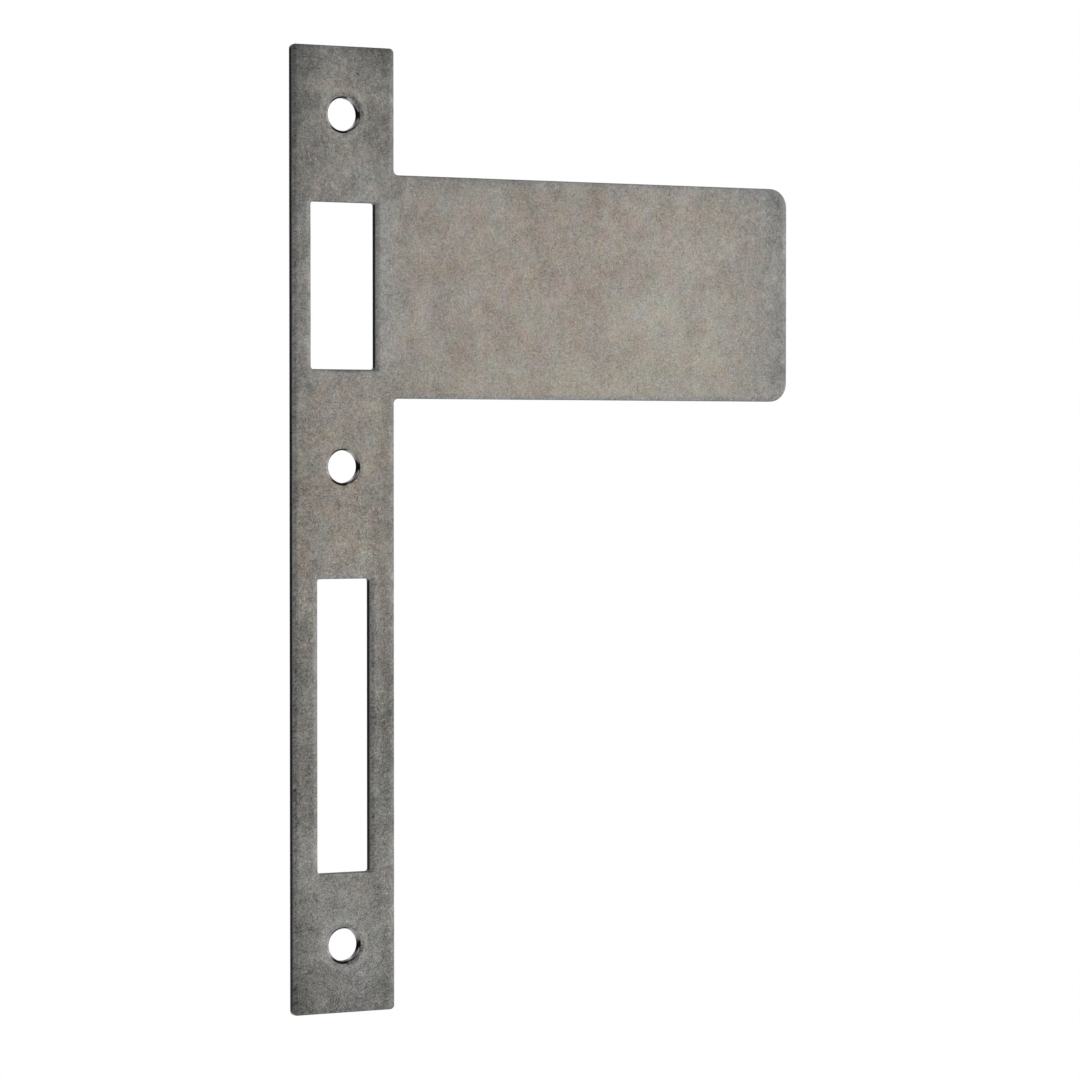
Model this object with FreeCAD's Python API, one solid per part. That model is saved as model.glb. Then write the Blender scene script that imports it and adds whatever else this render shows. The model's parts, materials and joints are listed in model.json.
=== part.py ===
import FreeCAD, Part
import math
import os

from FreeCAD import Vector

# Strike plate with a long tongue, punched from one piece of steel sheet. Lengths are in millimetres.
# The origin is the middle of the strip's back face, the one that lies in the door frame's mortise.
# X runs across the strip towards the tongue, Y from the front face to the back, and Z up the strip.

# Sheet
sheet_thickness = 1.5
front_edge_radius = 0.3
back_edge_radius = 0.15

# Screw holes, all on the strip's centreline
screw_hole_diameter = 5.9
screw_hole_rim_radius = 0.35
end_to_screw = 12.25

# Strip
strip_width = 20.0
strip_corner_radius = 0.85
opening_corner_radius = 0.5

# Latch opening, the upper one
latch_opening_width = 12.6
latch_opening_height = 30.0

# Bolt opening, the lower one
bolt_opening_width = 10.2
bolt_opening_height = 53.0

# Lands along the strip, each from a hole's centre to the edge of an opening
top_screw_to_latch_opening = 15.75
latch_opening_to_middle_screw = 17.5
middle_screw_to_bolt_opening = 20.2
bolt_opening_to_bottom_screw = 13.05

# Tongue, level with the latch opening
tongue_reach = 82.0
tongue_height = 40.4
tongue_corner_radius = 3.5
tongue_root_radius = 0.9

# The strip is as long as its openings, lands and end margins make it
upper_length = end_to_screw + top_screw_to_latch_opening + latch_opening_height
middle_length = latch_opening_to_middle_screw + middle_screw_to_bolt_opening
lower_length = bolt_opening_height + bolt_opening_to_bottom_screw + end_to_screw
strip_length = upper_length + middle_length + lower_length

# Levels along the strip, from the top end down
top_end = strip_length / 2
top_screw = top_end - end_to_screw
latch_opening_top = top_screw - top_screw_to_latch_opening
latch_opening_bottom = latch_opening_top - latch_opening_height
middle_screw = latch_opening_bottom - latch_opening_to_middle_screw
bolt_opening_top = middle_screw - middle_screw_to_bolt_opening
bolt_opening_bottom = bolt_opening_top - bolt_opening_height
bottom_screw = bolt_opening_bottom - bolt_opening_to_bottom_screw
bottom_end = bottom_screw - end_to_screw

# Places across the strip and through the sheet
right_edge = strip_width / 2
left_edge = -right_edge
tongue_end = right_edge + tongue_reach
back_face = 0.0
front_face = back_face - sheet_thickness

# Levels of the tongue's two long edges
latch_level = (latch_opening_top + latch_opening_bottom) / 2
tongue_top = latch_level + tongue_height / 2
tongue_bottom = latch_level - tongue_height / 2

same_place = 1e-6


def rounded_outline(corners):
    """Closed wire in the back face through corners (x, z, radius), each rounded by a tangent arc."""
    runs = []
    for index, (x, z, radius) in enumerate(corners):
        corner = Vector(x, back_face, z)
        before_x, before_z, _ = corners[index - 1]
        after_x, after_z, _ = corners[(index + 1) % len(corners)]
        to_before = (Vector(before_x, back_face, before_z) - corner).normalize()
        to_after = (Vector(after_x, back_face, after_z) - corner).normalize()
        half_angle = to_before.getAngle(to_after) / 2
        start = corner + to_before * (radius / math.tan(half_angle))
        end = corner + to_after * (radius / math.tan(half_angle))
        inward = (to_before + to_after).normalize()
        crown = corner + inward * (radius / math.sin(half_angle) - radius)
        runs.append((start, crown, end))
    edges = []
    for index, (start, crown, end) in enumerate(runs):
        previous_end = runs[index - 1][2]
        edges.append(Part.LineSegment(previous_end, start).toShape())
        edges.append(Part.Arc(start, crown, end).toShape())
    return Part.Wire(edges)


def opening_outline(width, top, bottom):
    """Rectangular opening across the strip's centreline, with small corner radii."""
    half = width / 2
    radius = opening_corner_radius
    return rounded_outline([
        (-half, top, radius),
        (half, top, radius),
        (half, bottom, radius),
        (-half, bottom, radius),
    ])


def screw_hole_outline(level):
    """Round screw hole on the strip's centreline."""
    centre = Vector(0, back_face, level)
    return Part.Wire(Part.Circle(centre, Vector(0, 1, 0), screw_hole_diameter / 2).toShape())


def blank_outline():
    """Outside edge of the blank: the strip, with the tongue standing out at its right."""
    return rounded_outline([
        (left_edge, top_end, strip_corner_radius),
        (right_edge, top_end, strip_corner_radius),
        (right_edge, tongue_top, tongue_root_radius),
        (tongue_end, tongue_top, tongue_corner_radius),
        (tongue_end, tongue_bottom, tongue_corner_radius),
        (right_edge, tongue_bottom, tongue_root_radius),
        (right_edge, bottom_end, strip_corner_radius),
        (left_edge, bottom_end, strip_corner_radius),
    ])


def edges_in_face(solid, level, round_holes):
    """Edges of a solid that lie in the face at one Y: the screw holes' rims, or all the others."""
    found = []
    for edge in solid.Edges:
        box = edge.BoundBox
        in_face = abs(box.YMin - level) < same_place and abs(box.YMax - level) < same_place
        if in_face and edge.isClosed() == round_holes:
            found.append(edge)
    return found


def strike_plate():
    """The punched blank, with its edges rolled over at the front and tumbled smooth at the back."""
    outlines = [blank_outline()]
    outlines.append(opening_outline(latch_opening_width, latch_opening_top, latch_opening_bottom))
    outlines.append(opening_outline(bolt_opening_width, bolt_opening_top, bolt_opening_bottom))
    for level in (top_screw, middle_screw, bottom_screw):
        outlines.append(screw_hole_outline(level))
    sheet = Part.makeFace(outlines, "Part::FaceMakerBullseye")
    plate = sheet.extrude(Vector(0, front_face - back_face, 0))
    plate = plate.makeFillet(screw_hole_rim_radius, edges_in_face(plate, front_face, True))
    plate = plate.makeFillet(front_edge_radius, edges_in_face(plate, front_face, False))
    for round_holes in (True, False):
        plate = plate.makeFillet(back_edge_radius, edges_in_face(plate, back_face, round_holes))
    return plate


os.makedirs("parts", exist_ok=True)
plate = strike_plate()
plate.exportStep("parts/strike_plate.step")
print("strip length", round(strip_length, 3), "tongue end", round(tongue_end, 3))
print("latch level", round(latch_level, 3), "middle screw", round(middle_screw, 3))
print("solids", len(plate.Solids), "valid", plate.isValid(), "volume", round(plate.Volume, 2))
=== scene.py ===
import json
import math
from functools import partial
from types import SimpleNamespace

import bmesh
import bpy
import numpy as np
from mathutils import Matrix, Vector, noise
from mathutils.geometry import delaunay_2d_cdt


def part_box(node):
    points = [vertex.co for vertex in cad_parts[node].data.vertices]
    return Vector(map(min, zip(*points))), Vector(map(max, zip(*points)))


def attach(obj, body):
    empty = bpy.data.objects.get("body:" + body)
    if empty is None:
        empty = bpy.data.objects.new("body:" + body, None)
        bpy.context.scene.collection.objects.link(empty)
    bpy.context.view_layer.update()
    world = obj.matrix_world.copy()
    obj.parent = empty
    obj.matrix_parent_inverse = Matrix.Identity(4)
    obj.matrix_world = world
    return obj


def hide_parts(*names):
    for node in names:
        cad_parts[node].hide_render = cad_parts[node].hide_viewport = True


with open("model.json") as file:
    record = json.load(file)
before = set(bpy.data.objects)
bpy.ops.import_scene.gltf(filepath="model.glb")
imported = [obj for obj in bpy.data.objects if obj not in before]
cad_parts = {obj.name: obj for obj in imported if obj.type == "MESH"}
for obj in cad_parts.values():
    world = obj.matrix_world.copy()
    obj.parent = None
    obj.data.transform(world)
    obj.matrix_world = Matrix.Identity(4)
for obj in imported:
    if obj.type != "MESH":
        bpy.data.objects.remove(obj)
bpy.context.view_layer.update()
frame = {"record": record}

# A punched steel strike plate with a long tongue. The script's lengths are in millimetres, and the
# model's in metres. X runs along the tongue, Y from the front face to the back, and Z up the strip.
MM = 0.001

# Sizes that the frame gives
low_corner, high_corner = (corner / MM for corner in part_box("strike_plate"))
mounts = {mount["name"]: mount for mount in frame["record"]["mounts"]}
END_HOLE_LEVEL = mounts["end_screw_holes"]["dims"]["spacing_y_mm"] / 2
MIDDLE_HOLE_LEVEL = mounts["middle_screw_hole"]["pos_m"][2] / MM
SCREW_HOLE_RADIUS = mounts["middle_screw_hole"]["dims"]["r_mm"]
HOLE_LEVELS = (END_HOLE_LEVEL, MIDDLE_HOLE_LEVEL, -END_HOLE_LEVEL)
FRONT_FACE, BACK_FACE = low_corner.y, high_corner.y
STRIP_BOTTOM, STRIP_TOP = low_corner.z, high_corner.z
STRIP_LEFT, STRIP_RIGHT = low_corner.x, -low_corner.x
TONGUE_END = high_corner.x

# Sizes of the outline, the same as the solid's
STRIP_CORNER_RADIUS = 0.85
OPENING_CORNER_RADIUS = 0.5
TONGUE_CORNER_RADIUS = 3.5
TONGUE_ROOT_RADIUS = 0.9
TONGUE_BOTTOM, TONGUE_TOP = 23.8, 64.2
LATCH_OPENING = {"half_width": 6.3, "bottom": 29.0, "top": 59.0}
BOLT_OPENING = {"half_width": 5.1, "bottom": -61.7, "top": -8.7}

# The punched edge: a small radius at the back, a larger one at the front, and a soft roll-over beside it
BACK_RADIUS = 0.15
EDGE_RADIUS = 0.2
HOLE_RIM_RADIUS = 0.38
ROLL_SLOPE = 0.18
HOLE_ROLL_SLOPE = 0.04
ROLL_STRAIGHT = 0.5
ROLL_WIDTH = 1.2
ROLL_UNEVENNESS = 0.35
ROLL_WAVELENGTH = 5.0

# Fineness of the mesh
RUN_SPACING = 1.0
ARC_STEPS = 10
CIRCLE_STEPS = 96
RADIUS_STEPS = 8
ROLL_STEPS = 8
ROLL_CROWDING = 1.4
SMALLEST_RADIUS = 0.12
WALL_RING = 0.03
FILL_SPACING = 2.0
FILL_CLEARANCE = 1.2

# What the triangulation is asked for: triangles inside the loops, with points this near taken as one
INSIDE_TRIANGLES = 1
SAME_PLACE = 1e-6


def corner_arc(before, corner, after, radius, inset):
    """Points of the arc that rounds one corner of a polygon, moved into the metal by inset."""
    way_in = (corner - before) / np.linalg.norm(corner - before)
    way_out = (after - corner) / np.linalg.norm(after - corner)
    left_in = np.array([-way_in[1], way_in[0]])
    left_out = np.array([-way_out[1], way_out[0]])
    turn = math.atan2(way_in[0] * way_out[1] - way_in[1] * way_out[0], way_in @ way_out)
    side = math.copysign(1.0, turn)
    radius = max(radius - side * inset, SMALLEST_RADIUS)
    moved = corner + inset * (left_in + left_out) / (1 + left_in @ left_out)
    start = moved - way_in * radius * math.tan(abs(turn) / 2)
    centre = start + left_in * side * radius
    spoke_x, spoke_z = start - centre
    arc = []
    for step in range(ARC_STEPS + 1):
        cosine = math.cos(turn * step / ARC_STEPS)
        sine = math.sin(turn * step / ARC_STEPS)
        arc.append(centre + (spoke_x * cosine - spoke_z * sine, spoke_x * sine + spoke_z * cosine))
    return arc


def rounded_ring(corners, inset):
    """Points (x, z) of a rounded polygon, moved by inset into the metal at the left of the way round."""
    points = [np.array(corner[:2], float) for corner in corners]
    arcs = []
    for index, (_, _, radius) in enumerate(corners):
        after = points[(index + 1) % len(points)]
        arcs.append(corner_arc(points[index - 1], points[index], after, radius, inset))
    ring = []
    for index, arc in enumerate(arcs):
        following = (index + 1) % len(arcs)
        run = np.linalg.norm(points[following] - points[index])
        pieces = max(2, round(run / RUN_SPACING))
        ring += arc
        for piece in range(1, pieces):
            ring.append(arc[-1] + (arcs[following][0] - arc[-1]) * piece / pieces)
    return np.array(ring)


def round_ring(level, inset):
    """Points (x, z) round a screw hole, clockwise, so that the metal lies left of the way round."""
    angles = -np.arange(CIRCLE_STEPS) * 2 * math.pi / CIRCLE_STEPS
    radius = SCREW_HOLE_RADIUS + inset
    return np.column_stack([radius * np.cos(angles), level + radius * np.sin(angles)])


def blank_corners():
    """The blank's outside edge, anticlockwise from the strip's lower left corner."""
    return [
        (STRIP_LEFT, STRIP_BOTTOM, STRIP_CORNER_RADIUS),
        (STRIP_RIGHT, STRIP_BOTTOM, STRIP_CORNER_RADIUS),
        (STRIP_RIGHT, TONGUE_BOTTOM, TONGUE_ROOT_RADIUS),
        (TONGUE_END, TONGUE_BOTTOM, TONGUE_CORNER_RADIUS),
        (TONGUE_END, TONGUE_TOP, TONGUE_CORNER_RADIUS),
        (STRIP_RIGHT, TONGUE_TOP, TONGUE_ROOT_RADIUS),
        (STRIP_RIGHT, STRIP_TOP, STRIP_CORNER_RADIUS),
        (STRIP_LEFT, STRIP_TOP, STRIP_CORNER_RADIUS),
    ]


def opening_corners(opening):
    """An opening's edge, clockwise from its lower left corner."""
    half, bottom, top = opening["half_width"], opening["bottom"], opening["top"]
    return [
        (-half, bottom, OPENING_CORNER_RADIUS),
        (-half, top, OPENING_CORNER_RADIUS),
        (half, top, OPENING_CORNER_RADIUS),
        (half, bottom, OPENING_CORNER_RADIUS),
    ]


def plate_edges():
    """For each edge of the plate: what makes its ring, its front radius and its roll-over's slope."""
    outlines = (blank_corners(), opening_corners(LATCH_OPENING), opening_corners(BOLT_OPENING))
    edges = [(partial(rounded_ring, corners), EDGE_RADIUS, ROLL_SLOPE) for corners in outlines]
    for level in HOLE_LEVELS:
        edges.append((partial(round_ring, level), HOLE_RIM_RADIUS, HOLE_ROLL_SLOPE))
    return edges


def edge_section(front_radius):
    """The edge's section from back to front: inset, place in Y, and whether the roll-over lowers it."""
    steps = []
    for step in range(RADIUS_STEPS + 1):
        angle = step / RADIUS_STEPS * math.pi / 2
        inset = BACK_RADIUS * (1 - math.sin(angle))
        steps.append((inset, BACK_FACE - BACK_RADIUS * (1 - math.cos(angle)), False))
    steps.append((0.0, BACK_FACE - BACK_RADIUS - WALL_RING, False))
    steps.append((0.0, FRONT_FACE + front_radius + WALL_RING, True))
    for step in range(RADIUS_STEPS + 1):
        angle = step / RADIUS_STEPS * math.pi / 2
        inset = front_radius * (1 - math.cos(angle))
        steps.append((inset, FRONT_FACE + front_radius * (1 - math.sin(angle)), True))
    for step in range(1, ROLL_STEPS + 1):
        share = (step / ROLL_STEPS) ** ROLL_CROWDING
        steps.append((front_radius + (ROLL_WIDTH - front_radius) * share, FRONT_FACE, True))
    return steps


def roll_over(inset, place, slope):
    """How far the roll-over lowers the front face: an even slope near the edge, then a soft run-out."""
    wander = noise.noise(Vector((place[0], place[1], 0.0)) / ROLL_WAVELENGTH)
    run_out = ROLL_WIDTH - ROLL_STRAIGHT
    share = min(1.0, max(0.0, (inset - ROLL_STRAIGHT) / run_out))
    curved = run_out * (0.5 - share + share ** 3 - share ** 4 / 2)
    straight = max(0.0, ROLL_STRAIGHT - inset)
    return slope * (1 + ROLL_UNEVENNESS * wander) * (straight + curved)


def between_loops(points, loops):
    """Whether each point lies in the metal between the loops, by how many sides a line from it crosses."""
    inside = np.zeros(len(points), bool)
    for loop in loops:
        for (x0, z0), (x1, z1) in zip(loop, np.roll(loop, -1, axis=0)):
            if z0 == z1:
                continue
            level = (points[:, 1] >= min(z0, z1)) & (points[:, 1] < max(z0, z1))
            crossing = x0 + (points[:, 1] - z0) * (x1 - x0) / (z1 - z0)
            inside ^= level & (points[:, 0] < crossing)
    return inside


def fill_points(loops):
    """Points on an even grid in the metal between the loops, clear of them."""
    (left, bottom), (right, top) = loops[0].min(axis=0), loops[0].max(axis=0)
    columns = np.arange(left, right, FILL_SPACING)
    grid = []
    for row, level in enumerate(np.arange(bottom, top, FILL_SPACING)):
        grid += [(x + row % 2 * FILL_SPACING / 2, level) for x in columns]
    grid = np.array(grid)
    rims = np.concatenate(loops)
    clear = [np.hypot(*(rims - spot).T).min() > FILL_CLEARANCE for spot in grid]
    return grid[between_loops(grid, loops) & np.array(clear)]


def flat_fill(loops):
    """Even triangles between the loops: the points added to theirs, and the triangles' corner numbers."""
    added = fill_points(loops)
    spots = np.concatenate([*loops, added])
    sides, first = [], 0
    for loop in loops:
        sides += [(first + index, first + (index + 1) % len(loop)) for index in range(len(loop))]
        first += len(loop)
    places = [Vector(spot) for spot in spots]
    _, _, faces, sources, _, _ = delaunay_2d_cdt(places, sides, [], INSIDE_TRIANGLES, SAME_PLACE)
    triangles = np.array([[sources[corner][0] for corner in face] for face in faces])
    return added, triangles[between_loops(spots[triangles].mean(axis=1), loops)]


def add_band(points, faces, ring_at, front_radius, slope):
    """Adds the band of faces round one edge, and gives the numbers of its back and front loops' points."""
    outline = ring_at(0.0)
    size = len(outline)
    first = len(points)
    for inset, depth, rolled in edge_section(front_radius):
        for place, (x, z) in zip(outline, ring_at(inset)):
            lowered = roll_over(inset, place, slope) if rolled else 0.0
            points.append((x, depth + lowered, z))
    for start in range(first, len(points) - size, size):
        for index in range(size):
            beside = (index + 1) % size
            faces.append((start + index, start + beside, start + size + beside, start + size + index))
    return range(first, first + size), range(len(points) - size, len(points))


def add_flat_face(points, faces, loops, depth):
    """Adds one of the flat faces, between the bands' loops."""
    numbers = [index for loop in loops for index in loop]
    outlines = [np.array([(points[index][0], points[index][2]) for index in loop]) for loop in loops]
    added, triangles = flat_fill(outlines)
    numbers += range(len(points), len(points) + len(added))
    points += [(x, depth, z) for x, z in added]
    faces += [tuple(numbers[corner] for corner in triangle) for triangle in triangles]


def plate_mesh():
    """The whole plate as one closed mesh: a band round each edge, and the two flat faces between them."""
    points, faces = [], []
    bands = [add_band(points, faces, *edge) for edge in plate_edges()]
    back_loops, front_loops = zip(*bands)
    banded = len(faces)
    add_flat_face(points, faces, back_loops, BACK_FACE)
    add_flat_face(points, faces, front_loops, FRONT_FACE)

    mesh = bpy.data.meshes.new("strike_plate_dressed")
    mesh.from_pydata([(x * MM, y * MM, z * MM) for x, y, z in points], [], faces)
    for polygon in mesh.polygons:
        polygon.use_smooth = polygon.index < banded
    work = bmesh.new()
    work.from_mesh(mesh)
    bmesh.ops.recalc_face_normals(work, faces=work.faces)
    work.to_mesh(mesh)
    work.free()
    return mesh


# How each pattern's shift, which sets it apart from the others, moves it in X, Y and Z
PATTERN_SHIFT = (1.0, 0.7, -1.0)

# The shares of a stroke's width and length up to which it is full. It fades out at half of each.
STROKE_CORE = 0.15
STROKE_BODY = 0.2
STROKE_END = 0.5


def from_screen(red, green, blue):
    """A colour given as seen on a screen, 0 to 255, as the linear colour that a shader takes."""
    channels = [((value / 255 + 0.055) / 1.055) ** 2.4 for value in (red, green, blue)]
    return (*channels, 1.0)


class Graph:
    """Short calls that add nodes to one node tree and give back their output sockets."""

    def __init__(self, tree):
        self.tree = tree

    def add(self, kind, **settings):
        """A new node of one kind, with its settings."""
        node = self.tree.nodes.new(kind)
        for name, value in settings.items():
            setattr(node, name, value)
        return node

    def feed(self, socket, value):
        """Gives a node's input another node's output, or a constant."""
        if isinstance(value, bpy.types.NodeSocket):
            self.tree.links.new(value, socket)
        else:
            socket.default_value = value

    def calc(self, operation, *values):
        """The result of one calculation with numbers."""
        node = self.add("ShaderNodeMath", operation=operation)
        for socket, value in zip(node.inputs, values):
            self.feed(socket, value)
        return node.outputs[0]

    def total(self, *values):
        """All the values added up."""
        result = values[0]
        for value in values[1:]:
            result = self.calc("ADD", result, value)
        return result

    def weighted(self, *pairs):
        """All the values added up, each times its weight."""
        return self.total(*[self.calc("MULTIPLY", value, weight) for value, weight in pairs])

    def clamped(self, value):
        """The value, kept between 0 and 1."""
        return self.calc("MINIMUM", self.calc("MAXIMUM", value, 0.0), 1.0)

    def square_length(self, across, along):
        """The square of the length of a step across and along."""
        return self.calc("ADD", self.calc("MULTIPLY", across, across), self.calc("MULTIPLY", along, along))

    def length(self, across, along):
        """The length of a step across and along."""
        return self.calc("SQRT", self.square_length(across, along))

    def blend(self, share, first, second):
        """The first value where the share is 0, the second where it is 1."""
        return self.calc("MULTIPLY_ADD", share, self.calc("SUBTRACT", second, first), first)

    def vector(self, operation, *values):
        """The result of one calculation with vectors or colours."""
        node = self.add("ShaderNodeVectorMath", operation=operation)
        for socket, value in zip(node.inputs, values):
            self.feed(socket, value)
        return node.outputs["Vector"]

    def scaled(self, vector, factor):
        """A vector or colour times a number."""
        node = self.add("ShaderNodeVectorMath", operation="SCALE")
        self.feed(node.inputs["Vector"], vector)
        self.feed(node.inputs["Scale"], factor)
        return node.outputs["Vector"]

    def split(self, vector):
        """A vector's X, Y and Z."""
        node = self.add("ShaderNodeSeparateXYZ")
        self.feed(node.inputs["Vector"], vector)
        return node.outputs

    def mix(self, share, first, second):
        """The first colour where the share is 0, the second where it is 1."""
        node = self.add("ShaderNodeMix", data_type="RGBA")
        sockets = {socket.identifier: socket for socket in node.inputs}
        self.feed(sockets["Factor_Float"], share)
        self.feed(sockets["A_Color"], first)
        self.feed(sockets["B_Color"], second)
        return next(socket for socket in node.outputs if socket.identifier == "Result_Color")

    def ramp(self, value, low, high, at_low=0.0, at_high=1.0):
        """A soft step from at_low, where value is low, to at_high, where it is high."""
        node = self.add("ShaderNodeMapRange", interpolation_type="SMOOTHSTEP")
        self.feed(node.inputs["Value"], value)
        self.feed(node.inputs["From Min"], low)
        self.feed(node.inputs["From Max"], high)
        self.feed(node.inputs["To Min"], at_low)
        self.feed(node.inputs["To Max"], at_high)
        return node.outputs["Result"]

    def curve(self, value, stops):
        """A value read off a curve through stops of (value, level), levels from 0 to 1."""
        low, high = stops[0][0], stops[-1][0]
        node = self.add("ShaderNodeValToRGB")
        share = self.calc("DIVIDE", self.calc("SUBTRACT", value, low), high - low)
        self.feed(node.inputs["Fac"], share)
        points = node.color_ramp.elements
        points[1].color = (*[stops[-1][1]] * 3, 1.0)
        points[0].color = (*[stops[0][1]] * 3, 1.0)
        for place, level in stops[1:-1]:
            point = points.new((place - low) / (high - low))
            point.color = (level, level, level, 1.0)
        return node.outputs["Color"]

    def moved(self, place, shift):
        """The place where a pattern is read, so that patterns with other shifts don't repeat it."""
        return self.vector("ADD", place, tuple(shift * share for share in PATTERN_SHIFT))

    def clouds(self, place, size, octaves, gain, shift, stretch=1.0, flat=False):
        """Cloudy noise from -1 to 1, with clouds of one size and finer ones in them."""
        spot = self.moved(place, shift)
        if stretch != 1.0:
            spot = self.vector("MULTIPLY", spot, (1.0, 1.0, 1.0 / stretch))
        node = self.add("ShaderNodeTexNoise", noise_dimensions="2D" if flat else "3D")
        self.feed(node.inputs["Vector"], spot)
        node.inputs["Scale"].default_value = 1.0 / size
        node.inputs["Detail"].default_value = octaves
        node.inputs["Roughness"].default_value = gain
        return self.calc("MULTIPLY_ADD", node.outputs["Fac"], 2.0, -1.0)

    def strokes(self, flat, spacing, length, width, bend, shift, share=1.0):
        """Short bent strokes turned every way, one in each cell: 1 along a stroke's middle, 0 off it."""
        spot = self.moved(flat, shift)
        cells = self.add("ShaderNodeTexVoronoi", voronoi_dimensions="2D", feature="F1")
        self.feed(cells.inputs["Vector"], spot)
        cells.inputs["Scale"].default_value = 1.0 / spacing
        offset = self.split(self.vector("SUBTRACT", spot, cells.outputs["Position"]))
        chance = self.split(cells.outputs["Color"])

        angle = self.calc("MULTIPLY", chance["X"], 2 * math.pi)
        cosine, sine = self.calc("COSINE", angle), self.calc("SINE", angle)
        along = self.weighted((offset["X"], cosine), (offset["Y"], sine))
        sideways = self.calc("MULTIPLY", offset["Y"], cosine)
        across = self.calc("SUBTRACT", sideways, self.calc("MULTIPLY", offset["X"], sine))
        bow = self.calc("MULTIPLY_ADD", chance["Y"], 2 * bend, -bend)
        across = self.calc("MULTIPLY_ADD", self.calc("MULTIPLY", along, along), bow, across)

        off_line, off_middle = self.calc("ABSOLUTE", across), self.calc("ABSOLUTE", along)
        line = self.ramp(off_line, STROKE_CORE * width, STROKE_END * width, 1.0, 0.0)
        reach = self.ramp(off_middle, STROKE_BODY * length, STROKE_END * length, 1.0, 0.0)
        strength = self.ramp(chance["Z"], 1.0 - share, 1.0)
        return self.calc("MULTIPLY", self.calc("MULTIPLY", line, reach), strength)

    def spot(self, x, z, centre_x, centre_z, reach_x, reach_z):
        """A soft spot: 1 at its centre, fading to 0 at its reach."""
        across = self.calc("DIVIDE", self.calc("SUBTRACT", x, centre_x), reach_x)
        along = self.calc("DIVIDE", self.calc("SUBTRACT", z, centre_z), reach_z)
        return self.ramp(self.square_length(across, along), 0.0, 1.0, 1.0, 0.0)

    def spots(self, x, z, table):
        """What a table of soft spots adds: each row has a spot's centre and reach, and then its change."""
        return self.weighted(*[(self.spot(x, z, *place), change) for *place, change in table])


# Colours of the metal, as the screen shows them under the studio's light
CLEAN_STEEL = from_screen(158, 151, 142)
GREY_STEEL = from_screen(149, 149, 147)
WORN_STEEL = from_screen(95, 95, 92)
BARE_WALL = from_screen(150, 150, 149)
# The screw holes' walls: a lit and a shaded copy of bare steel, as a painted reflection and painted shade
LIT_HOLE_WALL = from_screen(195, 195, 194)
PAINTED_WALL_SHADE = from_screen(70, 70, 70)
# The screw holes' rims: painted shade, and a painted highlight
PAINTED_RIM_SHADE = from_screen(28, 28, 28)
PAINTED_RIM_HIGHLIGHT = from_screen(190, 188, 184)
GREEN_CLOUD, PINK_CLOUD = from_screen(149, 150, 142), from_screen(155, 146, 138)
YELLOW_CLOUD, LILAC_CLOUD = from_screen(151, 149, 137), from_screen(149, 147, 144)

# How strongly the grain lightens red, green and blue: its light specks are greenish, its dark ones
# reddish. On grey steel it has no tint.
LIGHT_TINT = (0.83, 1.0, 1.07, 1.0)
NO_TINT = (1.0, 1.0, 1.0, 1.0)

FACE_ROUGHNESS = 0.5
WALL_ROUGHNESS = 0.3
HOLE_ROUGHNESS = 0.14
WEAR_ON_ROUGHNESS = -0.06
GRAIN_ON_ROUGHNESS = 0.06
BUMP_STRENGTH = 0.5
BUMP_DEPTH = 0.012

# The fine patterns lie in a plane, and depth shifts them in X and Z, so that they run on over the walls
DEPTH_IN_X = 3.0
DEPTH_IN_Z = 2.0

# Cloudy patterns: the clouds' size, the octaves of finer ones in them and their gain, and the shift
MOTTLE = {"size": 2.6, "octaves": 4.0, "gain": 1.0, "shift": 31.0, "stretch": 1.2}
PATCHES = {"size": 6.0, "octaves": 5.0, "gain": 1.0, "shift": 77.0, "stretch": 1.2}
WARP_IN_X = {"size": 6.0, "octaves": 3.0, "gain": 0.7, "shift": 61.0}
WARP_IN_Z = {"size": 6.0, "octaves": 3.0, "gain": 0.7, "shift": 71.0}
WARP_REACH = 4.0
BROAD_TINT = {"size": 4.0, "octaves": 3.0, "gain": 0.8, "stretch": 1.2}
FINE_TINT = {"size": 0.35, "octaves": 1.0, "gain": 0.7, "flat": True}

# Tinted clouds: the two colours, and the shift and strength of the broad clouds and of the fine ones
TINTED_CLOUDS = (
    (GREEN_CLOUD, PINK_CLOUD, 3.0, 3.2, 91.0, 0.15),
    (YELLOW_CLOUD, LILAC_CLOUD, 19.0, 3.1, 103.0, 0.3),
)

# Fine patterns: grains as for the clouds, and strokes, of which there is one in each cell of the spacing
GRAINS = {
    "grain": {"size": 0.36, "octaves": 0.0, "gain": 0.5, "shift": 5.0},
    "fine_grain": {"size": 0.19, "octaves": 0.0, "gain": 0.5, "shift": 9.0},
}
STROKES = {
    "fibres": {"spacing": 0.5, "length": 1.0, "width": 0.14, "bend": 0.5, "shift": 11.0},
    "long_fibres": {"spacing": 0.9, "length": 1.8, "width": 0.14, "bend": 0.4, "shift": 43.0},
    "dark_fibres": {"spacing": 0.55, "length": 1.1, "width": 0.14, "bend": 0.5, "shift": 127.0},
    "long_dark_fibres": {"spacing": 1.0, "length": 2.0, "width": 0.15, "bend": 0.4, "shift": 151.0},
    "nicks": {"spacing": 3.0, "length": 1.3, "width": 0.22, "bend": 0.4, "shift": 61.0, "share": 0.35},
    "marks": {"spacing": 5.0, "length": 3.0, "width": 0.5, "bend": 0.3, "shift": 83.0, "share": 0.4},
}

# How much each fine pattern lightens the steel, and how much it raises the surface
FINE_LIGHT = {
    "grain": 0.2,
    "fine_grain": 0.15,
    "fibres": 0.26,
    "long_fibres": 0.3,
    "dark_fibres": -0.3,
    "long_dark_fibres": -0.25,
    "nicks": 0.25,
    "marks": -0.06,
}
RELIEF = {"grain": 0.5, "fibres": -0.6, "long_fibres": -0.6, "nicks": -1.0}

# How strong the fine patterns are on the tongue, and how much more so on worn steel
TONGUE_GRAIN = 1.07
WORN_GRAIN = 0.35

# How far the mottle breaks up the wear: at least so much, and more with wear up to a limit
LEAST_MOTTLE = 0.14
MOTTLE_WITH_WEAR = 2.8
MOTTLED_WEAR = 0.32
MOTTLE_IN_GREY = 0.5
TINT_LOST_IN_GREY = 0.7

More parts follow.
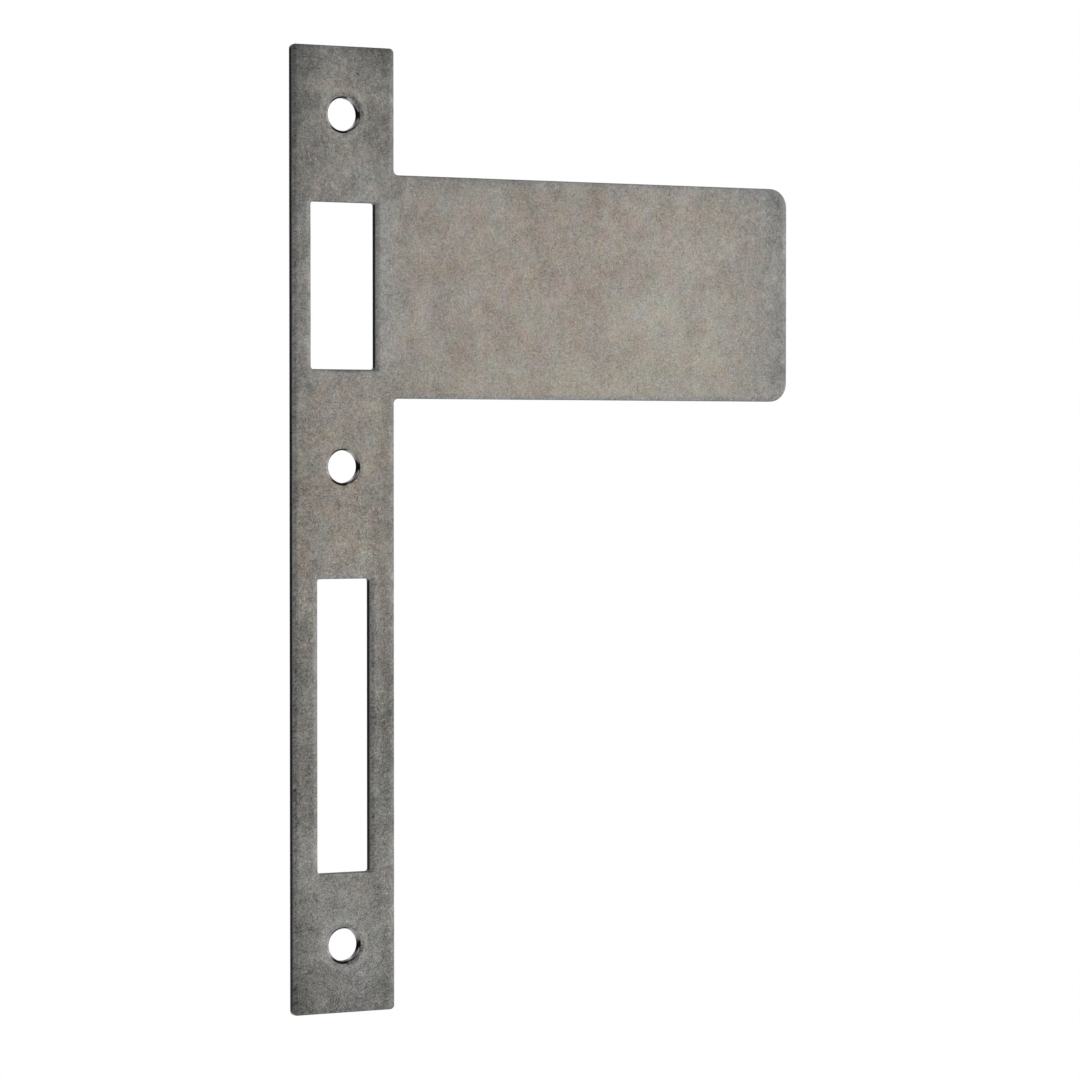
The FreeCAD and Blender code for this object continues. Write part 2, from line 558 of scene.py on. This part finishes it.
# Soft steps, each from a low to a high value of what its line names, and then what it gives at each
TONGUE_STEP = (8.0, 14.0, 0.0, 1.0)  # X: from strip to tongue
SIDES_STEP = (3.0, 9.0, 0.8, 1.25)  # distance from the strip's centreline: share of the wear
PATCH_STEP = (6.0, 16.0, 0.85, 0.64)  # X: strength of the patches
STRIP_GRAIN_STEP = (-60.0, 65.0, 1.55, 1.12)  # Z: strength of the fine patterns on the strip
ROLLED_STEP = (0.991, 0.9998, 0.85, 0.0)  # how squarely it faces front or back: grey of the rolled edges
WALL_STEP = (0.25, 0.9, 1.0, 0.0)  # the same: where the walls begin
HOLE_WALL_STEP = (0.1, 0.5, 1.0, 0.0)  # the same: where a screw hole's wall begins inside its rim
HOLE_STEP = (3.3, 3.4, 1.0, 0.0)  # the same: distance from a rim's centre: where the screw holes' smooth finish and their painted light and shade end

# How much worn dark steel shows: up the strip, along the tongue, and up the tongue
STRIP_WEAR = (
    (-87, 0.78), (-80, 0.50), (-72, 0.33), (-60, 0.33), (-50, 0.50), (-36, 0.52), (-22, 0.46),
    (-14, 0.33), (-6, 0.21), (4, 0.25), (24, 0.27), (34, 0.14), (48, 0.16), (60, 0.33),
    (70, 0.45), (80, 0.54), (87, 0.84),
)
TONGUE_WEAR_ALONG = (
    (10, 0.12), (17, 0.06), (30, 0.03), (60, 0.0), (72, 0.04), (80, 0.05), (84, 0.11),
    (88, 0.24), (92, 0.34),
)
TONGUE_WEAR_UP = (
    (23.8, 0.03), (27, 0.0), (42, 0.02), (52, 0.06), (59, 0.10), (62, 0.16), (64.2, 0.22),
)

# How grey the steel is, without its brown tint
STRIP_GREY = (
    (-87, 0.90), (-62, 0.62), (-48, 0.70), (-30, 0.45), (-16, 0.36), (-8, 0.12), (4, 0.0),
    (22, 0.05), (29, 0.45), (38, 0.75), (56, 0.80), (62, 0.50), (70, 0.45), (80, 0.50), (87, 0.80),
)
TONGUE_GREY_ALONG = (
    (10, 0.20), (17, 0.03), (60, 0.0), (76, 0.08), (83, 0.30), (88, 0.60), (92, 0.90),
)
TONGUE_GREY_UP = (
    (23.8, 0.15), (26, 0.0), (50, 0.0), (58, 0.05), (62, 0.20), (64.2, 0.45),
)

# Soft spots of more or less wear on the strip: centre and reach in X and Z, then the change in wear
WORN_SPOTS = (
    (-8.0, 20.0, 5.0, 24.0, 0.14),
    (8.0, 44.0, 6.0, 22.0, -0.26),
    (-8.0, 44.0, 5.0, 22.0, 0.15),
    (8.5, 2.0, 5.0, 16.0, 0.14),
    (-8.0, -57.0, 5.0, 8.0, -0.09),
    (-8.5, -77.0, 5.0, 12.0, 0.20),
    (8.0, -79.0, 7.0, 12.0, -0.10),
    (0.0, 80.0, 6.0, 8.0, -0.17),
    (-8.6, 72.0, 4.0, 18.0, 0.15),
)

# Pale and brown stains: centre and reach in X and Z, then green, yellow and light shares
STAINS = (
    (18.0, 40.0, 12.0, 10.0, 0.1, -0.4, 0.02),
    (46.0, 26.0, 40.0, 8.0, 0.2, 0.25, 0.03),
    (68.0, 34.0, 20.0, 15.0, 0.2, 0.2, 0.05),
    (66.0, 47.0, 14.0, 12.0, 0.2, -0.2, 0.05),
    (13.0, 49.0, 10.0, 10.0, -0.2, 0.1, -0.03),
    (8.5, 44.0, 4.5, 18.0, 0.0, 0.0, 0.05),
    (46.0, 54.0, 34.0, 12.0, -0.2, 0.0, -0.03),
)

# Narrow bands of painted light and shade along single edges: centre and reach in X and Z, then the change
# in light
PAINTED_EDGE_LIGHT = (
    (0.5, 29.0, 9.0, 0.7, -0.34),
    (0.0, -8.7, 6.5, 2.2, 0.20),
    (-5.1, -35.0, 1.8, 30.0, 0.12),
    (5.3, -35.0, 0.3, 34.0, 0.10),
    (6.7, -35.0, 1.2, 30.0, 0.08),
    (-9.75, 0.0, 0.32, 150.0, 0.09),
    (0.0, -61.7, 6.5, 0.9, 0.08),
    (0.0, -87.0, 14.0, 0.7, 0.12),
    (0.0, 87.0, 14.0, 0.4, 0.12),
)

# Painted light and shade round the screw holes from the top one down: lighter rings, and dark arcs at the
# upper right and lower right. A ring fades with the distance from its radius, and an arc with the distance
# from the hole.
PAINTED_HOLE_RINGS = (0.14, 0.04, 0.20)
PAINTED_UPPER_SHADES = (-0.30, 0.0, -0.10)
PAINTED_LOWER_SHADES = (-0.12, -0.30, -0.42)
HOLE_RING_RADIUS = 4.35
RING_FADE = (0.1, 0.75)
ARC_RISE = (2.8, 4.5)
ARC_FADE = (3.5, 4.2)
MOTTLE_IN_PAINTED_RINGS = 2.0

# The painted shade on the screw holes' rims lies a little off centre: shift in X and Z
RIM_SHIFT = (-0.08, -0.11)

# Soft steps by how a screw hole's rim or wall is turned, which place its painted shade and highlight. Side
# is -1 at the right of a hole, which faces left, and 1 at the left of it. Slant is 1 at the upper and lower
# right.
SLANT = 0.71
LOWER_RIM_STEP = (-0.1, 0.1, 0.0, 0.1)
DARK_SLANT_STEP = (0.8, 0.92)
DARK_SIDE_STEP = (0.6, 0.95, 1.0, 0.0)
BRIGHT_SIDE_STEP = (-0.25, 0.1, 1.0, 0.0)
BRIGHT_DEPTH_STEP = (0.75, 0.95, 1.0, 0.0)
DARK_WALL_STEP = (-0.99, -0.9, 1.0, 0.0)


def read_surface(graph):
    """What the material goes by: a point's place in millimetres, its normal, and its mottle."""
    place = graph.scaled(graph.add("ShaderNodeTexCoord").outputs["Object"], 1 / MM)
    x, y, z = graph.split(place)
    flat = graph.add("ShaderNodeCombineXYZ")
    graph.feed(flat.inputs["X"], graph.calc("MULTIPLY_ADD", y, DEPTH_IN_X, x))
    graph.feed(flat.inputs["Y"], graph.calc("MULTIPLY_ADD", y, DEPTH_IN_Z, z))
    normal = graph.split(graph.add("ShaderNodeNewGeometry").outputs["Normal"])
    return SimpleNamespace(
        place=place,
        flat=flat.outputs["Vector"],
        x=x,
        z=z,
        warped_x=graph.calc("MULTIPLY_ADD", graph.clouds(place, **WARP_IN_X), WARP_REACH, x),
        warped_z=graph.calc("MULTIPLY_ADD", graph.clouds(place, **WARP_IN_Z), WARP_REACH, z),
        on_tongue=graph.ramp(x, *TONGUE_STEP),
        normal=normal,
        facing=graph.calc("ABSOLUTE", normal["Y"]),
        mottle=graph.clouds(place, **MOTTLE),
    )


def fine_patterns(graph, surface):
    """The fine grain and strokes, by their names."""
    patterns = {name: graph.clouds(surface.flat, flat=True, **shape) for name, shape in GRAINS.items()}
    for name, shape in STROKES.items():
        patterns[name] = graph.strokes(surface.flat, **shape)
    return patterns


def together(graph, patterns, weights):
    """The named patterns added up, each times its weight."""
    return graph.weighted(*[(patterns[name], weight) for name, weight in weights.items()])


def worn_share(graph, surface):
    """How much worn dark steel shows, broken up by the mottle."""
    x, z = surface.x, surface.warped_z
    sides = graph.ramp(graph.calc("ABSOLUTE", x), *SIDES_STEP)
    strip = graph.calc("MULTIPLY", graph.curve(z, STRIP_WEAR), sides)
    strip = graph.calc("ADD", strip, graph.spots(x, z, WORN_SPOTS))
    tongue = graph.calc("ADD", graph.curve(x, TONGUE_WEAR_ALONG), graph.curve(z, TONGUE_WEAR_UP))
    share = graph.blend(surface.on_tongue, strip, tongue)
    mottled = graph.calc("MINIMUM", share, MOTTLED_WEAR)
    depth = graph.calc("MULTIPLY_ADD", mottled, MOTTLE_WITH_WEAR, LEAST_MOTTLE)
    return graph.clamped(graph.calc("ADD", share, graph.calc("MULTIPLY", surface.mottle, depth)))


def grey_share(graph, surface):
    """How grey the steel is: by place, and all along the rolled edges."""
    x, z = surface.x, surface.warped_z
    strip = graph.curve(z, STRIP_GREY)
    tongue = graph.calc("ADD", graph.curve(x, TONGUE_GREY_ALONG), graph.curve(z, TONGUE_GREY_UP))
    share = graph.blend(surface.on_tongue, strip, tongue)
    share = graph.calc("MAXIMUM", share, graph.ramp(surface.facing, *ROLLED_STEP))
    return graph.clamped(graph.calc("MULTIPLY_ADD", surface.mottle, MOTTLE_IN_GREY, share))


def stains(graph, surface):
    """What the stains add to the green clouds, the yellow clouds and the light."""
    x, z = surface.warped_x, surface.warped_z
    spots = [(graph.spot(x, z, *stain[:4]), stain[4:]) for stain in STAINS]
    return [graph.weighted(*[(spot, shares[part]) for spot, shares in spots]) for part in range(3)]


def cloudy_tint(graph, surface, tint_stains):
    """What the tinted clouds, each between two colours, add to the steel's colour."""
    tints = []
    for clouds, stain in zip(TINTED_CLOUDS, tint_stains):
        first, second, shift, strength, fine_shift, fine_strength = clouds
        share = graph.weighted(
            (graph.clouds(surface.place, shift=shift, **BROAD_TINT), strength),
            (graph.clouds(surface.flat, shift=fine_shift, **FINE_TINT), fine_strength),
        )
        half = [0.5 * (one - other) for one, other in zip(first[:3], second[:3])]
        tints.append(graph.scaled(half, graph.calc("ADD", share, stain)))
    return graph.vector("ADD", *tints)


def steel_colour(graph, surface, wear, grey, tint_stains):
    """The colour of the clean, grey and worn steel, with its tinted clouds."""
    kept = graph.calc("MULTIPLY_ADD", grey, -TINT_LOST_IN_GREY, 1.0)
    tint = graph.scaled(cloudy_tint(graph, surface, tint_stains), kept)
    colour = graph.vector("ADD", graph.mix(grey, CLEAN_STEEL, GREY_STEEL), tint)
    return graph.mix(wear, colour, WORN_STEEL)


def painted_hole_ring(graph, x, up, ring, upper_arc, lower_arc):
    """What the painted lighter ring and the painted dark arcs round one screw hole add to the light."""
    distance = graph.length(x, up)
    off_ring = graph.calc("ABSOLUTE", graph.calc("SUBTRACT", distance, HOLE_RING_RADIUS))
    upper_right = graph.ramp(graph.calc("ADD", x, up), *ARC_RISE, 0.0, upper_arc)
    lower_right = graph.ramp(graph.calc("SUBTRACT", x, up), *ARC_RISE, 0.0, lower_arc)
    near = graph.ramp(distance, *ARC_FADE, 1.0, 0.0)
    arcs = graph.calc("MULTIPLY", graph.calc("ADD", upper_right, lower_right), near)
    return graph.calc("ADD", graph.ramp(off_ring, *RING_FADE, ring, 0.0), arcs)


def hole_rims_and_painted_rings(graph, surface):
    """Distance to the nearest rim's centre, and what the painted light and shade round the screw holes add
    to the light.
    """
    off_centre = graph.calc("SUBTRACT", surface.x, RIM_SHIFT[0])
    distances, marks = [], []
    for level, *strengths in zip(HOLE_LEVELS, PAINTED_HOLE_RINGS, PAINTED_UPPER_SHADES, PAINTED_LOWER_SHADES):
        up = graph.calc("SUBTRACT", surface.z, level)
        distances.append(graph.length(off_centre, graph.calc("SUBTRACT", up, RIM_SHIFT[1])))
        # Painted light and shade round each screw hole
        marks.append(painted_hole_ring(graph, surface.x, up, *strengths))
    nearest = graph.calc("MINIMUM", graph.calc("MINIMUM", distances[0], distances[1]), distances[2])
    unevenness = graph.calc("MULTIPLY_ADD", surface.mottle, MOTTLE_IN_PAINTED_RINGS, 1.0)
    return nearest, graph.calc("MULTIPLY", graph.total(*marks), unevenness)


def light_change(graph, surface, fine, wear, light_stain, painted_hole_light):
    """How much lighter or darker the steel is by its painted edge bands, fine patterns, patches, stains and
    painted hole light.
    """
    strip_grain = graph.ramp(surface.z, *STRIP_GRAIN_STEP)
    grain = graph.blend(surface.on_tongue, strip_grain, TONGUE_GRAIN)
    strength = graph.calc("MULTIPLY_ADD", wear, WORN_GRAIN, grain)
    patches = graph.clouds(surface.place, **PATCHES)
    return graph.total(
        # Painted light and shade along single edges
        graph.spots(surface.x, surface.z, PAINTED_EDGE_LIGHT),
        graph.calc("MULTIPLY", together(graph, fine, FINE_LIGHT), strength),
        graph.calc("MULTIPLY", patches, graph.ramp(surface.x, *PATCH_STEP)),
        light_stain,
        painted_hole_light,
    )


def hole_colour_with_painted_light(graph, surface, face_colour):
    """Bare walls with painted shade at the right, and rims with painted shade above and below and a painted
    highlight at the right.
    """
    normal, facing = surface.normal, surface.facing
    steepness = graph.calc("SQRT", graph.calc("SUBTRACT", 1.0, graph.calc("MULTIPLY", facing, facing)))
    side = graph.calc("DIVIDE", normal["X"], steepness)
    slant = graph.weighted((graph.calc("ABSOLUTE", normal["Z"]), SLANT), (normal["X"], -SLANT))
    slant = graph.calc("DIVIDE", slant, steepness)

    least = graph.ramp(normal["Z"], *LOWER_RIM_STEP)
    by_slant = graph.ramp(slant, *DARK_SLANT_STEP, 1.0, least)
    painted_shade = graph.calc("MULTIPLY", by_slant, graph.ramp(side, *DARK_SIDE_STEP))
    by_depth = graph.ramp(facing, *BRIGHT_DEPTH_STEP)
    brightness = graph.calc("MULTIPLY", graph.ramp(side, *BRIGHT_SIDE_STEP), by_depth)
    # Painted shade on the rims above and below, and a painted highlight at their right
    rim = graph.mix(painted_shade, graph.mix(brightness, face_colour, PAINTED_RIM_HIGHLIGHT), PAINTED_RIM_SHADE)
    # The walls: a painted reflection, with painted shade at the right, which faces left
    wall = graph.mix(graph.ramp(side, *DARK_WALL_STEP), LIT_HOLE_WALL, PAINTED_WALL_SHADE)
    return graph.mix(graph.ramp(facing, *HOLE_WALL_STEP), rim, wall)


def relief(graph, fine):
    """The slight relief of the grain, the strokes and the nicks."""
    bump = graph.add("ShaderNodeBump")
    bump.inputs["Strength"].default_value = BUMP_STRENGTH
    bump.inputs["Distance"].default_value = BUMP_DEPTH * MM
    graph.feed(bump.inputs["Height"], together(graph, fine, RELIEF))
    return bump.outputs["Normal"]


def aged_steel():
    """Tumbled, chemically aged steel: brown and greenish clouds, fine strokes every way, dark worn ends."""
    material = bpy.data.materials.new("aged_steel")
    material.use_nodes = True
    graph = Graph(material.node_tree)
    shader = material.node_tree.nodes["Principled BSDF"]
    surface = read_surface(graph)
    fine = fine_patterns(graph, surface)
    *tint_stains, light_stain = stains(graph, surface)
    wear = worn_share(graph, surface)
    grey = grey_share(graph, surface)
    # The nearest rim's distance, and the painted light and shade round the screw holes
    distance, painted_hole_light = hole_rims_and_painted_rings(graph, surface)

    light = light_change(graph, surface, fine, wear, light_stain, painted_hole_light)
    change = graph.scaled(graph.mix(grey, LIGHT_TINT, NO_TINT), light)
    colour = steel_colour(graph, surface, wear, grey, tint_stains)
    colour = graph.vector("MULTIPLY", colour, graph.vector("ADD", change, NO_TINT[:3]))

    wall = graph.ramp(surface.facing, *WALL_STEP)
    hole = graph.ramp(distance, *HOLE_STEP)
    # Walls, and the screw holes with their painted light and shade
    bare = graph.mix(hole, BARE_WALL, hole_colour_with_painted_light(graph, surface, colour))
    roughness = graph.weighted(
        (wear, WEAR_ON_ROUGHNESS),
        (fine["grain"], GRAIN_ON_ROUGHNESS),
        (wall, WALL_ROUGHNESS - FACE_ROUGHNESS),
    )
    roughness = graph.blend(hole, graph.calc("ADD", roughness, FACE_ROUGHNESS), HOLE_ROUGHNESS)
    graph.feed(shader.inputs["Base Color"], graph.mix(graph.calc("MAXIMUM", wall, hole), colour, bare))
    graph.feed(shader.inputs["Roughness"], roughness)
    graph.feed(shader.inputs["Normal"], relief(graph, fine))
    shader.inputs["Metallic"].default_value = 1.0
    return material


def build_plate():
    """The dressed plate, in place of the plain solid."""
    plate = bpy.data.objects.new("strike_plate_dressed", plate_mesh())
    plate.data.materials.append(aged_steel())
    bpy.context.scene.collection.objects.link(plate)
    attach(plate, "root")
    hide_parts("strike_plate")


FLOOR_LEVEL = -250 * MM
FLOOR_SIZE = 1.6
FLOOR_COLOUR = (0.8, 0.8, 0.8, 1.0)
FLOOR_ROUGHNESS = 0.9
WHITE = (1.0, 1.0, 1.0, 1.0)


def white_to_camera(graph, lit, white, output):
    """Shows the camera an even white, and gives all other rays what the studio's light makes."""
    seen = graph.add("ShaderNodeMixShader")
    graph.feed(seen.inputs["Fac"], graph.add("ShaderNodeLightPath").outputs["Is Camera Ray"])
    graph.feed(seen.inputs[1], lit.outputs[0])
    graph.feed(seen.inputs[2], white.outputs[0])
    graph.feed(output.inputs["Surface"], seen.outputs["Shader"])


def build_floor():
    """A plain pale floor, well below the plate, which is in the air above it."""
    bpy.ops.mesh.primitive_plane_add(size=FLOOR_SIZE, location=(0, 0, FLOOR_LEVEL))
    floor = bpy.context.object
    floor.name = "floor"
    material = bpy.data.materials.new("pale_floor")
    material.use_nodes = True
    graph = Graph(material.node_tree)
    shader = material.node_tree.nodes["Principled BSDF"]
    shader.inputs["Base Color"].default_value = FLOOR_COLOUR
    shader.inputs["Roughness"].default_value = FLOOR_ROUGHNESS
    white = graph.add("ShaderNodeEmission")
    white_to_camera(graph, shader, white, material.node_tree.nodes["Material Output"])
    floor.data.materials.append(material)


LIGHT_AIM = Vector((40, 0, 0)) * MM


def softbox(name, azimuth, elevation, distance, width, height, brightness):
    """A large soft light aimed at the plate. Azimuth 0 is in front of the plate, and 90 to its right."""
    data = bpy.data.lights.new(name, "AREA")
    data.shape = "RECTANGLE"
    data.size = width
    data.size_y = height
    data.energy = brightness * math.pi * width * height
    light = bpy.data.objects.new(name, data)
    turn, rise = math.radians(azimuth), math.radians(elevation)
    way = Vector((math.sin(turn) * math.cos(rise), -math.cos(turn) * math.cos(rise), math.sin(rise)))
    light.location = LIGHT_AIM + way * distance
    light.rotation_mode = "QUATERNION"
    light.rotation_quaternion = way.to_track_quat("Z", "Y")
    bpy.context.scene.collection.objects.link(light)


def floor_light(name, place, size, brightness):
    """A light just above the floor and pointing down. The plate mirrors the floor that it lights."""
    data = bpy.data.lights.new(name, "AREA")
    data.size = size
    data.energy = brightness * math.pi * size * size
    light = bpy.data.objects.new(name, data)
    light.location = place
    bpy.context.scene.collection.objects.link(light)


def build_lights():
    """Two soft boxes, and three small lights over the floor. Their sizes and places are in metres."""
    softbox("key_light", azimuth=62, elevation=6, distance=1.6, width=3.0, height=2.5, brightness=1.03)
    softbox("back_light", azimuth=125, elevation=50, distance=1.1, width=0.7, height=0.7, brightness=1.0)
    floor_light("floor_light_behind", place=(0.15, 0.66, -0.05), size=0.25, brightness=2.2)
    floor_light("floor_light_below", place=(-0.04, -0.06, -0.13), size=0.15, brightness=1.7)
    floor_light("floor_light_in_front", place=(0.30, -0.45, -0.10), size=0.7, brightness=0.9)


# Brightness of the studio round the plate, by azimuth in degrees: dark behind it at the left, and with a
# bright streak straight behind it
STUDIO = (
    (-180, 0.08), (-165, 0.04), (-153, 0.01), (-140, 0.02), (-120, 0.15), (-95, 0.40), (-60, 0.70),
    (-20, 0.55), (5, 0.30), (14, 0.40), (40, 0.60), (100, 0.60), (150, 0.24), (163, 0.08),
    (178.588, 0.9236), (180, 0.08),
)

# Soft steps of the studio's light: darker overhead, and a little more of it high up behind the plate
OVERHEAD_STEP = (0.35, 0.85, 1.0, 0.15)
BEHIND_STEP = (0.0, 0.5, 0.0, 1.0)
HIGH_BEHIND_STEP = (0.12, 0.4, 0.0, 0.17)


def build_studio():
    """World light that varies round the plate and with height."""
    world = bpy.data.worlds.new("studio")
    bpy.context.scene.world = world
    world.use_nodes = True
    graph = Graph(world.node_tree)
    x, y, z = graph.split(graph.add("ShaderNodeTexCoord").outputs["Generated"])
    azimuth = graph.calc("ARCTAN2", x, graph.calc("MULTIPLY", y, -1.0))
    around = graph.curve(graph.calc("DEGREES", azimuth), STUDIO)
    level = graph.calc("MULTIPLY", around, graph.ramp(z, *OVERHEAD_STEP))
    behind = graph.calc("MULTIPLY", graph.ramp(y, *BEHIND_STEP), graph.ramp(z, *HIGH_BEHIND_STEP))
    lit = world.node_tree.nodes["Background"]
    graph.feed(lit.inputs["Color"], graph.calc("ADD", level, behind))
    white = graph.add("ShaderNodeBackground")
    white.inputs["Color"].default_value = WHITE
    white_to_camera(graph, lit, white, world.node_tree.nodes["World Output"])


# The camera stands to the left of the plate and looks at this point of its front face
VIEW_TARGET = Vector((39.44, -1.5, -2.06)) * MM
VIEW_AZIMUTH = 26.534
VIEW_DOWN = 1.187
VIEW_DISTANCE = 701.17 * MM
LENS = 126.638
SENSOR_WIDTH = 36.0


def build_camera():
    """The camera at the photo's viewing angle, level, with no shift and with everything sharp."""
    data = bpy.data.cameras.new("camera")
    data.sensor_width = SENSOR_WIDTH
    data.lens = LENS
    camera = bpy.data.objects.new("camera", data)
    turn, drop = math.radians(VIEW_AZIMUTH), math.radians(VIEW_DOWN)
    look = Vector((math.sin(turn) * math.cos(drop), math.cos(turn) * math.cos(drop), -math.sin(drop)))
    camera.location = VIEW_TARGET - look * VIEW_DISTANCE
    camera.rotation_mode = "QUATERNION"
    camera.rotation_quaternion = look.to_track_quat("-Z", "Y")
    bpy.context.scene.collection.objects.link(camera)
    bpy.context.scene.camera = camera
    bpy.context.scene.view_settings.view_transform = "Standard"


build_plate()
build_floor()
build_lights()
build_studio()
build_camera()
